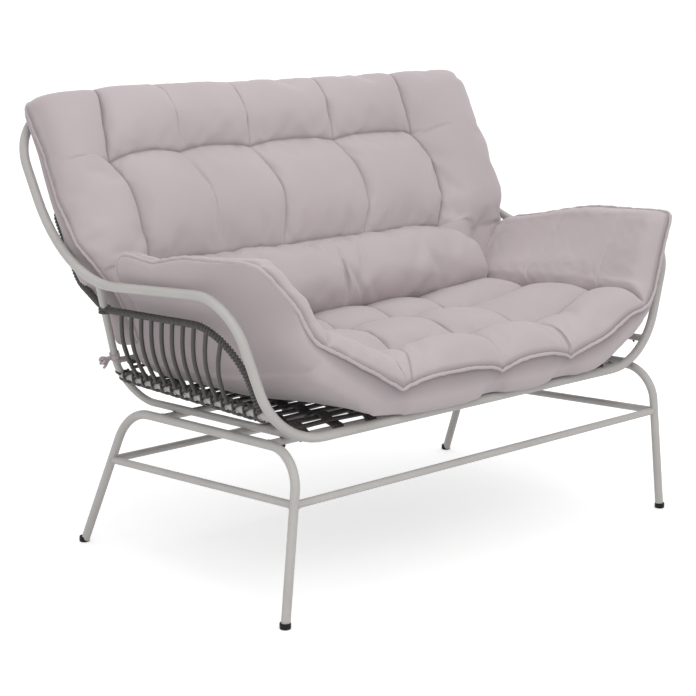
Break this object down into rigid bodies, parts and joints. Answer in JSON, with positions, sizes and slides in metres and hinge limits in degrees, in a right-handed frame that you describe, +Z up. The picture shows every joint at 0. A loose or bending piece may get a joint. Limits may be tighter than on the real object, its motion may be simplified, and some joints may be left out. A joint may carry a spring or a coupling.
{
  "type": "rattan garden sofa",
  "caption": "Garden sofa with a bent tube frame on leg hoops, rattan side, back and seat panels, and tufted seat, back and arm cushions.",
  "frame": {"origin": "on the floor, in the middle of the sofa's width, midway between the front of the seat cushion and the back of the back rail", "axes": "+Z up, the sitter faces -Y, +X to the right of someone who looks at the sofa from the front"},
  "size_m": [1.3308, 0.856, 1.0026],
  "materials": {
    "frame": "satin powder coat, warm light grey",
    "rattan": "round synthetic rattan, anthracite, faintly ribbed",
    "cushion": "plain woven outdoor cloth, light warm pinkish grey",
    "foot_cap": "black moulded plastic",
    "bolt": "black coated steel"
  },
  "bodies": {
    "root": {"front_rail": "frame", "back_rail": "frame", "left_side_loop": "frame", "right_side_loop": "frame", "left_side_rail": "frame", "right_side_rail": "frame", "left_seat_rail": "frame", "right_seat_rail": "frame", "left_bound_rail": "rattan", "right_bound_rail": "rattan", "back_rim": "rattan", "rear_seat_rail": "frame", "left_leg_hoop": "frame", "right_leg_hoop": "frame", "left_front_foot_cap": "foot_cap", "left_rear_foot_cap": "foot_cap", "right_front_foot_cap": "foot_cap", "right_rear_foot_cap": "foot_cap", "front_cross_tube": "frame", "middle_cross_tube": "frame", "rear_cross_tube": "frame", "front_stretcher": "frame", "rear_stretcher": "frame", "left_stretcher": "frame", "right_stretcher": "frame", "left_front_bolt": "bolt", "left_rear_bolt": "bolt", "right_front_bolt": "bolt", "right_rear_bolt": "bolt", "left_side_weave": "rattan", "right_side_weave": "rattan", "back_weave": "rattan", "seat_weave": "rattan", "seat_cushion": "cushion", "back_cushion": "cushion", "lumbar_roll": "cushion", "left_arm_pad": "cushion", "right_arm_pad": "cushion", "left_cushion_tie": "cushion", "right_cushion_tie": "cushion"}
  },
  "joints": []
}
